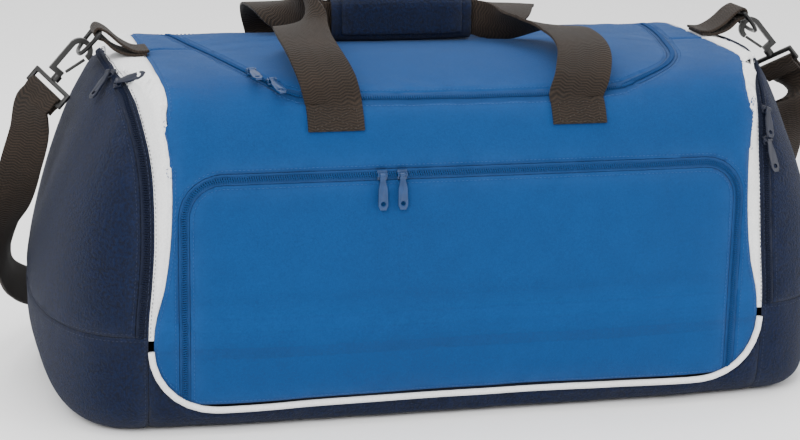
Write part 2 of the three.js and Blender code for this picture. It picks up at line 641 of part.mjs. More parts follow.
// A slider on the middle of the bag, where every section is the same, at x and y or z.
function middle(x, y, z) {
  const v = Math.abs(z - WAIST) / RISE;
  const n = new THREE.Vector3(0, Math.sign(y) * Math.abs(y / HALF_DEPTH) ** 3.8 * (RISE / HALF_DEPTH), v ** 3.8);
  return [new THREE.Vector3(x, y, z), n.normalize()];
}
const topZ = (y) => WAIST + RISE * (1 - Math.abs(y / HALF_DEPTH) ** 4.8) ** (1 / 4.8);
addSlider('main_left', ...middle(-187, -109, topZ(-109)), new THREE.Vector3(0.05, -1, -0.2), ROYAL_PLASTIC, -0.12);
addSlider('main_right', ...middle(-172, -127, topZ(-127)), new THREE.Vector3(0.15, -0.93, -0.35), ROYAL_PLASTIC, -0.2);
for (const [name, x] of [
  ['pocket_left', -82],
  ['pocket_right', -64],
])
  addSlider(name, ...middle(x, frontY(POCKET.top), POCKET.top), new THREE.Vector3(0, 0, -1), ROYAL_PLASTIC);
// The end zips: how far round the skin each slider sits, and which way its pull lies.
for (const [name, side, angle, towards] of [
  ['left_upper', -1, 77, [-0.62, -0.5, -0.6]],
  ['left_lower', -1, 69.5, [0.95, -0.25, -0.2]],
  ['right_upper', 1, 46, [-0.35, -0.2, -1]],
  ['right_lower', 1, 34, [0.1, -0.2, -1]],
]) {
  const a = THREE.MathUtils.degToRad(angle);
  let along = 1;
  while (Math.abs(skinPoint(side * along, a).x) - seamX(side, skinPoint(side * along, a).z) < END_DOOR.seam)
    along += 0.001;
  const at = skinPoint(side * along, a);
  addSlider(name, at, skinNormal(side * along, a), new THREE.Vector3(...towards), NAVY_PLASTIC);
}

export default bag;
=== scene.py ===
import json
import math

import bmesh
import bpy
import numpy as np
from bpy.props import FloatProperty, FloatVectorProperty, IntProperty, PointerProperty
from mathutils import Matrix, Vector, noise
from mathutils.bvhtree import BVHTree
from mathutils.kdtree import KDTree


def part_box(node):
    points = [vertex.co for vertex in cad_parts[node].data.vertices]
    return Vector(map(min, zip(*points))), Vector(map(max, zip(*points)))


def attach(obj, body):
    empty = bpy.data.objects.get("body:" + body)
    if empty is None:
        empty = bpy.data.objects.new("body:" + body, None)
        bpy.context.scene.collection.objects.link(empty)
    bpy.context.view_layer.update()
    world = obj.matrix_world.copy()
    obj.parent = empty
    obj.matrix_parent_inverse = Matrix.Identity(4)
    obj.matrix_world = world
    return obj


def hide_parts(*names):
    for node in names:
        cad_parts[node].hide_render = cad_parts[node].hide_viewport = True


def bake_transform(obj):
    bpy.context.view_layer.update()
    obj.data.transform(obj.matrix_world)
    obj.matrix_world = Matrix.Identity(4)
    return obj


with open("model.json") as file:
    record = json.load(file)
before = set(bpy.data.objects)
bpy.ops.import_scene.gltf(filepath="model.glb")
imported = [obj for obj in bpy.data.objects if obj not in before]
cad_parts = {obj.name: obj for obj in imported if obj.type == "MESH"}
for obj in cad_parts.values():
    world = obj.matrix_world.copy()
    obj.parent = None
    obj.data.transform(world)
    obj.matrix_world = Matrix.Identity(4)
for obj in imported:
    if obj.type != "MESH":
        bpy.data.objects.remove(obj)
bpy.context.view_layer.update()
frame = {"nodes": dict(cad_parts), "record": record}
NODES = frame["nodes"]
RECORD = frame["record"]

bl_info = {
    "name": "Duffel bag",
    "version": (1, 0, 0),
    "blender": (4, 5, 0),
    "location": "3D View > Sidebar > Duffel bag",
    "description": "Sews a large duffel bag onto its fixed frame",
    "category": "Object",
}

MM = 0.001
HOME = {node: body for body, nodes in RECORD["behaviour"]["bodies"].items() for node in nodes}
SLOT = {part["node"]: part["material_slot"] for part in RECORD["subparts"]}


# ------------------------------------------------------------------ sizes and colours
def length(name, text, default):
    return FloatProperty(name=name, description=text, default=default, unit="LENGTH", precision=5)


def colour(name, text, default):
    return FloatVectorProperty(
        name=name, description=text, default=default, subtype="COLOR", size=3, min=0, max=1
    )


class BagSizes(bpy.types.PropertyGroup):
    """The sizes a maker would change."""

    cell: length("Cloth cell", "Size of the cells that the panels are meshed in", 0.005)
    wall: length("Fabric wall", "Thickness of the padded fabric", 0.0024)
    dip: length("Seam dip", "How far a panel sinks where it is sewn", 0.0013)
    roll: length("Seam roll", "How wide the sinking at a seam is", 0.008)
    swell: length("Swell", "Most that the stuffed fabric may stand proud of its pattern", 0.0045)
    slack: length("Slack", "Depth of the soft hollows between the seams", 0.0034)
    webbing: length("Webbing", "Thickness of the handle and strap webbing", 0.0024)
    thread: length("Thread", "Thickness of the sewing thread", 0.0007)
    stitch: length("Stitch", "Length of one stitch with the space after it", 0.0038)
    tooth: length("Tooth pitch", "Distance from one zip tooth to the next", 0.0021)
    piping: length("Piping", "Radius of the round piping", 0.003)
    frames: IntProperty(name="Fill frames", description="Frames the filling is simulated for", default=20)


class BagColours(bpy.types.PropertyGroup):
    """The colours a maker would change."""

    royal: colour("Royal fabric", "Front, back, top and pocket", (0.0011, 0.038, 0.142))
    navy: colour("Navy fabric", "Base, ends and grip", (0.0005, 0.0034, 0.0165))
    white: colour("White fabric", "Side strips and piping", (0.86, 0.87, 0.88))
    webbing: colour("Webbing", "Handles, tabs and shoulder strap", (0.0125, 0.0082, 0.0055))
    lining: colour("Lining", "Inside of the bag and its pockets", (0.003, 0.005, 0.012))
    black: colour("Black plastic", "Snap hooks and strap loops", (0.003, 0.0028, 0.0026))
    wire: colour("Wire", "Coated rings", (0.004, 0.004, 0.0042))
    floor: colour("Floor", "Pale studio floor", (0.97, 0.97, 0.97))


# ------------------------------------------------------------------ materials
class Value:
    """A shader socket that sums can be written with."""

    def __init__(self, finish, socket):
        self.finish, self.socket = finish, socket

    def math(self, operation, *others):
        return self.finish.node("Math", {"operation": operation}, {0: self, **dict(enumerate(others, 1))})

    def __add__(self, other):
        return self.math("ADD", other)

    def __sub__(self, other):
        return self.math("SUBTRACT", other)

    def __mul__(self, other):
        return self.math("MULTIPLY", other)

    def __truediv__(self, other):
        return self.math("DIVIDE", other)

    def __rsub__(self, other):
        return self.finish.node("Math", {"operation": "SUBTRACT"}, {0: other, 1: self})

    __radd__, __rmul__ = __add__, __mul__


class Finish:
    """A material that is being put together."""

    def __init__(self, name):
        self.material = bpy.data.materials.new(name)
        self.material.use_nodes = True
        self.tree = self.material.node_tree
        self.shader = self.tree.nodes["Principled BSDF"]

    def node(self, kind, settings=None, inputs=None, output=0):
        made = self.tree.nodes.new("ShaderNode" + kind)
        for key, value in (settings or {}).items():
            if key == "ramp":
                for stop, (place, shade) in zip(made.color_ramp.elements, value):
                    stop.position, stop.color = place, shade
            else:
                setattr(made, key, value)
        for key, value in (inputs or {}).items():
            self.feed(made.inputs[key], value)
        return Value(self, made.outputs[output])

    def feed(self, socket, value):
        if isinstance(value, Value):
            self.tree.links.new(value.socket, socket)
        elif isinstance(value, tuple) and len(value) == 3 and socket.type == "RGBA":
            socket.default_value = (*value, 1)
        else:
            socket.default_value = value

    def place(self):
        return self.node("TexCoord", output=3)

    def cloth_map(self):
        return self.node("UVMap", {"uv_map": "cloth"})

    def parts(self, vector):
        split = self.node("SeparateXYZ", {}, {0: vector})
        outputs = split.socket.node.outputs
        return [Value(self, outputs[i]) for i in range(3)]

    def speckle(self, vector, scale, detail=3.0):
        return self.node("TexNoise", {}, {"Vector": vector, "Scale": scale, "Detail": detail})

    def mixed(self, factor, first, second):
        inputs = {0: factor, 6: first, 7: second}
        made = self.tree.nodes.new("ShaderNodeMix")
        made.data_type = "RGBA"
        for key, value in inputs.items():
            self.feed(made.inputs[key], value)
        return Value(self, made.outputs[2])

    def bump(self, height, distance, strength=1.0):
        inputs = {"Height": height, "Distance": distance, "Strength": strength}
        self.feed(self.shader.inputs["Normal"], self.node("Bump", {}, inputs))

    def shade(self, **sockets):
        for key, value in sockets.items():
            self.feed(self.shader.inputs[key.replace("_", " ")], value)


def tinted(shade, factor):
    return tuple(min(1.0, channel * factor) for channel in shade)


def woven(name, shade, pitch=0.0011, depth=0.00022, fade=1.0, sheen=0.05, grain=0.5):
    """Plain-woven polyester: threads over and under, faded a little in the open and worn at the seams."""
    f = Finish(name)
    u, v, _ = f.parts(f.cloth_map())
    turn = 2 * math.pi / pitch
    warp = (u * turn).math("SINE")
    weft = (v * turn).math("SINE")
    threads = warp * weft
    slub = f.speckle(f.place(), 900.0, 2.0)
    coarse = (f.speckle(f.place(), 420.0, 3.0) - 0.5) * grain
    clouds = f.speckle(f.place(), 5.5, 4.0)
    patches = f.speckle(f.place(), 45.0, 5.0)
    seam = f.node("Attribute", {"attribute_name": "seam"}, output=2)
    tone = threads * 0.10 + slub * 0.9 + coarse + clouds * 0.5 + patches * 0.25 - 0.35
    tone = tone.math("MINIMUM", 1.0).math("MAXIMUM", 0.0)
    base = f.mixed(tone, tinted(shade, 0.72), tinted(shade, 1.28 + 0.3 * grain))
    worn = seam * patches * fade
    base = f.mixed(worn * 0.35, base, tinted(tuple(c + 0.02 for c in shade), 1.8))
    rough = clouds * 0.16 + slub * 0.2 + 0.62
    f.shade(Base_Color=base, Roughness=rough.math("MINIMUM", 0.98))
    f.shade(Sheen_Weight=sheen, Sheen_Roughness=0.45, Specular_IOR_Level=0.16)
    f.bump(threads * 0.5 + slub * 0.6 + coarse + patches * 0.8, depth)
    return f.material


def ribbed(name, shade, rib=0.0026, fine=0.0013):
    """Heavy webbing: ribs across it in a shallow herringbone."""
    f = Finish(name)
    u, v, _ = f.parts(f.cloth_map())
    zigzag = (v / 0.0125).math("PINGPONG", 0.5)
    ribs = ((u + zigzag * 0.004) * (2 * math.pi / rib)).math("SINE")
    cords = (v * (2 * math.pi / fine)).math("SINE")
    fuzz = f.speckle(f.place(), 1100.0, 2.0)
    clouds = f.speckle(f.place(), 30.0, 4.0)
    height = ribs * 0.35 + cords * 0.22 + fuzz * 0.5
    # Painted highlight: the rib ridges and cords are painted lighter and their grooves darker in the base colour;
    # fuzz and clouds add random tone on top.
    tone = (ribs * 0.22 + cords * 0.10 + fuzz * 0.7 + clouds * 0.5 - 0.3).math("MINIMUM", 1.0)
    base = f.mixed(tone.math("MAXIMUM", 0.0), tinted(shade, 0.35), tinted(shade, 3.4))
    f.shade(Base_Color=base, Roughness=(clouds * 0.2 + fuzz * 0.2 + 0.5).math("MINIMUM", 0.95))
    f.shade(Sheen_Weight=0.04, Sheen_Roughness=0.4, Specular_IOR_Level=0.2)
    f.bump(height, 0.0006)
    return f.material


def moulded(name, shade, rough=0.38, metallic=0.0):
    """Moulded or coated hard part: fine grain, rubbed a little on its high places."""
    f = Finish(name)
    grain = f.speckle(f.place(), 1500.0, 2.0)
    rub = f.speckle(f.place(), 160.0, 5.0)
    scratch = f.speckle(f.place(), 60.0, 6.0)
    base = f.mixed((rub * 1.4 - 0.4).math("MAXIMUM", 0.0), tinted(shade, 0.85), tinted(shade, 1.6))
    f.shade(Base_Color=base, Roughness=(rub * 0.25 + scratch * 0.15 + rough - 0.18), Metallic=metallic)
    f.bump(grain * 0.6 + rub * 0.5, 0.00012)
    return f.material


def thread_finish(name, shade):
    f = Finish(name)
    twist = f.speckle(f.place(), 2200.0, 2.0)
    tone = f.speckle(f.place(), 60.0, 3.0)
    f.shade(Base_Color=f.mixed(tone, tinted(shade, 0.8), tinted(shade, 1.35)), Roughness=twist * 0.3 + 0.45)
    f.bump(twist, 0.0001)
    return f.material


def floor_finish(shade):
    f = Finish("studio_floor")
    clouds = f.speckle(f.place(), 1.2, 3.0)
    f.shade(Base_Color=f.mixed(clouds, tinted(shade, 0.985), shade), Roughness=clouds * 0.1 + 0.75)
    f.shade(Specular_IOR_Level=0.2)
    return f.material


MATERIALS = {}


def finish_for(slot):
    """The material of one of the bag's finishes, made once."""
    c = bpy.context.scene.bag_colours
    royal, navy, white = tuple(c.royal), tuple(c.navy), tuple(c.white)
    makers = {
        "royal_fabric": lambda: woven("royal_fabric", royal),
        "navy_fabric": lambda: woven("navy_fabric", navy, depth=0.0005, grain=3.0),
        "white_fabric": lambda: woven("white_fabric", white, fade=0.1, sheen=0.04),
        "lining": lambda: woven("lining", tuple(c.lining), pitch=0.0008, depth=0.0001),
        "webbing": lambda: ribbed("webbing", tuple(c.webbing)),
        "royal_zip": lambda: woven("royal_zip", tinted(royal, 0.8), pitch=0.0015, depth=0.0003),
        "navy_zip": lambda: woven("navy_zip", tinted(navy, 0.9), pitch=0.0015, depth=0.0003),
        "royal_plastic": lambda: moulded("royal_plastic", tinted(royal, 0.62), 0.34),
        "navy_plastic": lambda: moulded("navy_plastic", tinted(navy, 0.8), 0.34),
        "black_plastic": lambda: moulded("black_plastic", tuple(c.black), 0.4),
        "wire": lambda: moulded("wire", tuple(c.wire), 0.3, 0.4),
        "board": lambda: woven("board", tinted(tuple(c.lining), 0.8), pitch=0.0012),
        "royal_thread": lambda: thread_finish("royal_thread", tinted(royal, 1.25)),
        "navy_thread": lambda: thread_finish("navy_thread", tinted(navy, 1.7)),
        "white_thread": lambda: thread_finish("white_thread", tinted(white, 0.92)),
        "webbing_thread": lambda: thread_finish("webbing_thread", tinted(tuple(c.webbing), 1.6)),
    }
    if slot not in MATERIALS:
        MATERIALS[slot] = makers[slot]()
    return MATERIALS[slot]


# ------------------------------------------------------------------ the stuffed form
EDGE_HEIGHTS = (-30, 88, 135, 180, 240, 290, 303, 310, 316, 350)
END_SEAM = {
    -1: (287.6, 287.6, 284, 281, 281.5, 290, 296, 303, 310, 322),
    1: (287.6, 287.6, 284, 281, 281.5, 291, 300, 309, 318, 336),
}
HALF_DEPTH, WAIST, RISE, DROP, END_X = 176, 105, 211, 108, 380
FORM = {}
SEAMS = {}
SHEETS = {}


def smoothstep(x, low, high):
    t = np.clip((x - low) / (high - low), 0, 1)
    return t * t * (3 - 2 * t)


def blended(w, a, b, c, d):
    """Uniform Catmull-Rom between b and c."""
    v0, v1 = (c - a) / 2, (d - b) / 2
    return (2 * b - 2 * c + v0 + v1) * w**3 + (3 * c - 3 * b - 2 * v0 - v1) * w**2 + v0 * w + b


def seam_line(side):
    """(heights, distances out) along one end seam."""
    rows = np.array(list(zip(END_SEAM[side], EDGE_HEIGHTS)), float)
    at = np.linspace(0, len(rows) - 1, 280)
    k = np.minimum(at.astype(int), len(rows) - 2)
    picked = [rows[np.clip(k + shift, 0, len(rows) - 1)] for shift in (-1, 0, 1, 2)]
    line = blended((at - k)[:, None], *picked)
    return line[:, 1], line[:, 0]


def on_pattern(along, angle):
    """Points of the bag's pattern in metres: along is -2 to 2 from end to end, angle goes round it."""
    side = np.where(along < 0, -1, 1)
    within = np.minimum(np.abs(along), 1)
    edge, seam_part = smoothstep(within, 0.72, 0.92), smoothstep(within, 0.92, 1)
    half = HALF_DEPTH - 4 * edge - 2 * seam_part
    top = (4.8 + 1.2 * edge) * (1 - seam_part) + 3.1 * seam_part
    c, s = np.cos(angle), np.sin(angle)
    power = np.where(s > 0, 2 / top, 2 / 9)
    reach = np.where(s > 0, RISE - 4 * seam_part, DROP)
    y = -half * np.sign(c) * np.abs(c) ** power
    rise = reach * np.sign(s) * np.abs(s) ** power
    height = np.maximum(0, WAIST + rise)
    seam = np.where(side < 0, np.interp(height, *seam_line(-1)), np.interp(height, *seam_line(1)))
    t = np.clip(np.abs(along) - 1, 0, 1)
    x = np.where(t > 0, seam + (END_X - seam) * t, within * seam)
    y = y * (1 - t**2.3) ** (1 / 2.3)
    bow = np.where(s > 0, 1.35, 3.5)
    rise = rise * (1 - t**bow) ** (1 / bow)
    return np.stack([side * x, y, np.maximum(0, WAIST + rise)], axis=1) * MM


def girth(points):
    """How far round the section each point lies, from the middle of the base by way of the front, in metres."""
    angles = np.linspace(-math.pi / 2, 1.5 * math.pi, 1441)
    ring = on_pattern(np.zeros_like(angles), angles)
    run = np.concatenate([[0], np.cumsum(np.linalg.norm(np.diff(ring, axis=0), axis=1))])
    lift = points[:, 2] / MM - WAIST
    power = np.where(lift > 0, 2.4, 4.5)
    s = np.sign(lift) * (np.abs(lift) / np.where(lift > 0, RISE, DROP)) ** power
    c = -np.sign(points[:, 1]) * (np.abs(points[:, 1]) / (HALF_DEPTH * MM)) ** power
    turned = np.arctan2(s, c)
    return np.interp(np.where(turned < -math.pi / 2, turned + 2 * math.pi, turned), angles, run)


def verts_of(bm):
    return np.array([v.co for v in bm.verts])


def node_points(*names):
    return np.concatenate([np.array([v.co for v in NODES[name].data.vertices]) for name in names])


def kd_of(points):
    tree = KDTree(len(points))
    for i, point in enumerate(points):
        tree.insert(point, i)
    tree.balance()
    return tree


def fill_with_pressure(obj, pins, frames, cap):
    """Blows the form up like a filled bag, held along its seams, and gives the moved points."""
    rest = np.array([v.co for v in obj.data.vertices])
    group = obj.vertex_groups.new(name="sewn")
    for i, weight in enumerate(pins):
        group.add([i], float(weight), "REPLACE")
    cloth = obj.modifiers.new("Filling", "CLOTH")
    cloth.settings.quality = 5
    cloth.settings.mass = 0.25
    cloth.settings.tension_stiffness = cloth.settings.compression_stiffness = 18
    cloth.settings.shear_stiffness = 6
    cloth.settings.bending_stiffness = 0.8
    cloth.settings.vertex_group_mass = "sewn"
    cloth.settings.use_pressure = True
    cloth.settings.uniform_pressure_force = 4
    cloth.settings.effector_weights.gravity = 0
    cloth.collision_settings.use_collision = False
    cloth.point_cache.frame_start, cloth.point_cache.frame_end = 1, frames
    scene = bpy.context.scene
    for number in range(1, frames + 1):
        scene.frame_set(number)
    filled = obj.evaluated_get(bpy.context.evaluated_depsgraph_get()).data
    moved = np.array([v.co for v in filled.vertices]) - rest
    scene.frame_set(1)
    obj.modifiers.remove(cloth)
    far = np.linalg.norm(moved, axis=1, keepdims=True)
    return rest + moved * np.minimum(1, cap / np.maximum(far, 1e-9))


def hollows(points, normals, free, depth):
    """Soft unevenness of a filled bag: broad hollows, and short pulls running down from the top edge."""
    out = np.zeros(len(points))
    for i, (x, y, z) in enumerate(points):
        broad = noise.noise(Vector((x * 5, y * 5, z * 6)))
        middle = noise.noise(Vector((x * 14 + 7, y * 14, z * 9)))
        pulls = noise.noise(Vector((x * 30, y * 8, z * 5 + 3)))
        out[i] = broad * 0.6 + middle * 0.35 + pulls * 0.18
    return points + normals * (out * free * depth)[:, None]


def make_form():
    """The closed surface that every panel is laid on."""
    sizes = bpy.context.scene.bag_sizes
    bm = bmesh.new()
    bmesh.ops.create_uvsphere(bm, u_segments=136, v_segments=156, radius=1)
    ball = verts_of(bm)
    along = 2 * (2 * np.arccos(np.clip(ball[:, 2], -1, 1)) / math.pi - 1)
    over = np.abs(along) - 1
    ends = np.sign(along) * (1 + np.sin(np.clip(over, 0, 1) * math.pi / 2))
    eased = np.where(over > 0, ends, np.sin(along * math.pi / 2))
    for v, co in zip(bm.verts, on_pattern(eased, np.arctan2(ball[:, 1], -ball[:, 0]))):
        v.co = co
    bmesh.ops.recalc_face_normals(bm, faces=bm.faces)
    bm.normal_update()
    FORM["pattern"] = BVHTree.FromBMesh(bm)
    mesh = bpy.data.meshes.new("form")
    bm.to_mesh(mesh)
    bm.free()
    form = bpy.data.objects.new("form", mesh)
    bpy.context.collection.objects.link(form)
    sewn = [n for n in NODES if n.endswith(("_tape", "_piping", "_side_strip", "_end", "_tab"))]
    held = kd_of(np.concatenate([node_points(*sewn), node_points(*[n for n in NODES if n.endswith("_slider")])]))
    rest = np.array([v.co for v in mesh.vertices])
    normals = np.array([v.normal for v in mesh.vertices])
    near = np.array([held.find(p)[2] for p in rest])
    free = smoothstep(near, 0.008, 0.045)
    free *= smoothstep(rest[:, 2], 0.004, 0.03)
    points = rest
    points = fill_with_pressure(form, np.where(free < 0.02, 1.0, 0.0), sizes.frames, sizes.swell)
    points = hollows(points, normals, np.maximum(free, 0.25), sizes.slack)
    points[:, 2] = np.maximum(points[:, 2], 0)
    for v, co in zip(mesh.vertices, points):
        v.co = co
    smooth = form.modifiers.new("Smooth", "SUBSURF")
    smooth.levels = smooth.render_levels = 1
    graph = bpy.context.evaluated_depsgraph_get()
    FORM["filled"] = BVHTree.FromObject(form, graph)
    bpy.data.objects.remove(form)


# ------------------------------------------------------------------ cloth laid on the form
FOLDS = {
    "top_flap": ((0, 0.110, 0.316), (0, 0.085, 0.316)),
    "front_pocket": ((0, -0.17, 0.0275), (0, -0.17, 0.052)),
    "left_end_door": ((-0.38, 0, 0.092), (-0.38, 0, 0.112)),
    "right_end_door": ((0.38, 0, 0.092), (0.38, 0, 0.112)),
}


def piece(name, bm, node, slot=None, body=None, stands_for=(), wall=0.0, fold=None):
    """Makes the object, gives it its finish, and sets it on its body; pieces of the flap, pocket and door bodies and
    the folded handles only have their transform baked into the mesh.
    """
    mesh = bpy.data.meshes.new(name)
    bm.to_mesh(mesh)
    bm.free()
    mesh.shade_smooth()
    obj = bpy.data.objects.new(name, mesh)
    bpy.context.collection.objects.link(obj)
    mesh.materials.append(finish_for(slot or SLOT[node]))
    if wall:
        solid = obj.modifiers.new("Wall", "SOLIDIFY")
        solid.thickness, solid.offset, solid.use_even_offset = wall, -1, False
    body = body or HOME[node]
    if body in FOLDS and not fold:
        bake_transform(obj)
    elif fold:
        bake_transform(obj)
    else:
        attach(obj, body)
    if stands_for:
        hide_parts(*stands_for)
    return obj


def outer_face(node):
    """The outside of a sewn solid, as one open sheet."""
    bm = bmesh.new()
    bm.from_mesh(NODES[node].data)
    bmesh.ops.remove_doubles(bm, verts=bm.verts, dist=2e-5)
    bm.normal_update()
    bm.verts.index_update()
    out = [FORM["pattern"].find_nearest(v.co)[1] for v in bm.verts]
    hidden = [f for f in bm.faces if f.normal.dot(sum((out[v.index] for v in f.verts), Vector()).normalized()) < 0.5]
    bmesh.ops.delete(bm, geom=hidden, context="FACES")
    return bm


def sliced(bm, cell):
    """Cuts a sheet into small even cells."""
    points = verts_of(bm)
    for axis in range(3):
        way = Vector([float(axis == i) for i in range(3)])
        first = math.ceil((points[:, axis].min() + 2e-4) / cell)
        last = math.floor((points[:, axis].max() - 2e-4) / cell)
        for k in range(first, last + 1):
            everything = bm.verts[:] + bm.edges[:] + bm.faces[:]
            bmesh.ops.bisect_plane(bm, geom=everything, dist=1e-6, plane_co=way * (k * cell), plane_no=way)
    bmesh.ops.remove_doubles(bm, verts=bm.verts, dist=1e-4)


def edge_loops(bm):
    """The sheet's open edges, each as its vertices in order."""
    left = {e for e in bm.edges if len(e.link_faces) == 1}
    loops = []
    while left:
        edge = next(e for e in bm.edges if e in left)
        left.discard(edge)
        halves = []
        for tip in edge.verts:
            half = [tip]
            step = next((e for e in tip.link_edges if e in left), None)
            while step:
                left.discard(step)
                half.append(step.other_vert(half[-1]))
                step = next((e for e in half[-1].link_edges if e in left), None)
            halves.append(half)
        chain = halves[0][::-1] + halves[1]
        if len(chain) > 8:
            loops.append(chain)
    return loops


def laid(node, cell, dip, roll, lower=0.0):
    """A solid's outside as a fine sheet on the filled form, sunk along its edges."""
    bm = outer_face(node)
    sliced(bm, cell)
    seam = bm.verts.layers.float.new("seam")
    uv = bm.loops.layers.uv.new("cloth")
    loops = edge_loops(bm)
    rim = kd_of(np.array([v.co for loop in loops for v in loop]))
    for v in bm.verts:
        spot, normal, _, _ = FORM["filled"].find_nearest(v.co)
        near = rim.find(v.co)[2]
        v[seam] = math.exp(-near / 0.007)
        sunk = dip * max(0.0, 1 - near / roll) ** 2 if roll else 0.0
        if roll:
            pucker = noise.noise(v.co * 60) + 0.5 * noise.noise(v.co * 130)
            sunk += 0.0011 * pucker * math.exp(-near / 0.02) * min(1.0, near / 0.003)
        v.co = spot - normal * (sunk + lower)
    bm.normal_update()
    points = verts_of(bm)
    if node.startswith(("left_end", "right_end", "left_zip", "right_zip")):
        flat = points[:, 1:]
    elif node == "base_panel":
        flat = points[:, :2]
    else:
        flat = np.stack([points[:, 0], girth(points)], axis=1)
    bm.verts.index_update()
    for face in bm.faces:
        for corner in face.loops:
            corner[uv].uv = flat[corner.vert.index]
    SEAMS[node] = [edge_run(loop) for loop in loops]
    SHEETS[node] = BVHTree.FromBMesh(bm)
    return bm


def edge_run(loop):
    """Points, outward normals and directions into the sheet along one open edge."""
    points = np.array([v.co for v in loop])
    normals = np.array([v.normal for v in loop])
    inward = np.array([sum((f.calc_center_median() for f in v.link_faces), Vector()) / len(v.link_faces) - v.co
                       for v in loop])
    tangents = np.gradient(points, axis=0)
    tangents /= np.maximum(np.linalg.norm(tangents, axis=1, keepdims=True), 1e-9)
    across = np.cross(normals, tangents)
    across *= np.sign((across * inward).sum(axis=1, keepdims=True) + 1e-12)
    across /= np.maximum(np.linalg.norm(across, axis=1, keepdims=True), 1e-9)
    return points, normals, across


def resampled(run, pitch, start=0.0):
    """The same run at even steps."""
    points = run[0]
    gone = np.concatenate([[0], np.cumsum(np.linalg.norm(np.diff(points, axis=0), axis=1))])
    at = np.arange(start, gone[-1], pitch)
    return [np.stack([np.interp(at, gone, rows[:, i]) for i in range(3)], axis=1) for rows in run]


def beside(run, sheet, within=0.0012):
    """The longest stretch of a run that lies beside another sheet; a closed run is followed past its start."""
    count = len(run[0])
    close = [sheet.find_nearest(Vector(p))[3] < within for p in run[0]]
    best, size = (0, 0), 0
    for i in range(2 * count):
        size = size + 1 if close[i % count] else 0
        best = max(best, (min(size, count), i - size + 1))
    size, first = best
    picked = (np.arange(size) + first) % count
    return [rows[picked] for rows in run]


def repeated(template, rows, tilt=None):
    """Copies of one small shape, each with its X along the row and its Z outwards."""
    bm = bmesh.new()
    points, normals, across = rows
    tangents = np.gradient(points, axis=0)
    for p, n, t, a in zip(points, normals, tangents, across):
        t = Vector(t).normalized()
        n = Vector(n).normalized()
        side = n.cross(t).normalized()
        m = Matrix((t, side, t.cross(side))).transposed().to_4x4()
        m.translation = Vector(p)
        template.transform(m)
        bm.from_mesh(template)
        template.transform(m.inverted())
    return bm


def small_shape(size, segments=0):
    """A small block with rounded edges, or a bead when it has no segments."""
    bm = bmesh.new()
    if segments:
        bmesh.ops.create_cube(bm, size=1)
        bmesh.ops.scale(bm, vec=size, verts=bm.verts)
        edges = bm.edges[:]
        bmesh.ops.bevel(
            bm, geom=edges, offset=min(size) * 0.28, affect="EDGES", segments=segments, profile=0.5, material=-1
        )
    else:
        bmesh.ops.create_icosphere(bm, subdivisions=1, radius=0.5)
        bmesh.ops.scale(bm, vec=size, verts=bm.verts)
    mesh = bpy.data.meshes.new("template")
    bm.to_mesh(mesh)
    bm.free()
    return mesh


def stitched(name, node, inset, slot, lift=0.0001, runs=None):
    """A row of stitches inside the edge of a panel."""
    sizes = bpy.context.scene.bag_sizes
    template = small_shape((sizes.stitch * 0.72, sizes.thread, sizes.thread))
    bm = bmesh.new()
    for run in runs or SEAMS[node]:
        points, normals, across = resampled(run, sizes.stitch)
        if len(points) < 4:
            continue
        rows = points + across * inset
        lifted = []
        for p, n in zip(rows, normals):
            spot, normal, _, _ = FORM["filled"].find_nearest(Vector(p))
            lifted.append((*(spot + normal * lift),))
        step = np.linalg.norm(np.gradient(np.array(lifted), axis=0), axis=1)
        keep = (step < sizes.stitch * 1.6) & (step > sizes.stitch * 0.5)
        kept = [np.array(lifted)[keep], normals[keep], across[keep]]
        if len(kept[0]) > 3:
            row = repeated(template, kept)
            mesh = bpy.data.meshes.new("row")
            row.to_mesh(mesh)
            row.free()
            bm.from_mesh(mesh)
            bpy.data.meshes.remove(mesh)
    bpy.data.meshes.remove(template)
    return piece(name, bm, node, slot=slot)


# ------------------------------------------------------------------ webbing
def along_curve(stations, u):
    """Points of a centripetal curve through the stations, at each u from 0 to 1."""
    rows = np.array([row[:3] for row in stations], float) * MM
    ends = np.concatenate([[2 * rows[0] - rows[1]], rows, [2 * rows[-1] - rows[-2]]])
    last = len(rows) - 1
    k = np.minimum((u * last).astype(int), last - 1)
    w = (u * last - k)[:, None]
    p = [ends[k + shift] for shift in range(4)]
    d = [np.maximum(np.linalg.norm(p[i + 1] - p[i], axis=1, keepdims=True) ** 0.5, 1e-6) for i in range(3)]
    t1 = ((p[1] - p[0]) / d[0] - (p[2] - p[0]) / (d[0] + d[1]) + (p[2] - p[1]) / d[1]) * d[1]
    t2 = ((p[2] - p[1]) / d[1] - (p[3] - p[1]) / (d[1] + d[2]) + (p[3] - p[2]) / d[2]) * d[1]
    return (
        p[1]
        + t1 * w
        + (3 * p[2] - 3 * p[1] - 2 * t1 - t2) * w**2
        + (2 * p[1] - 2 * p[2] + t1 + t2) * w**3
    )


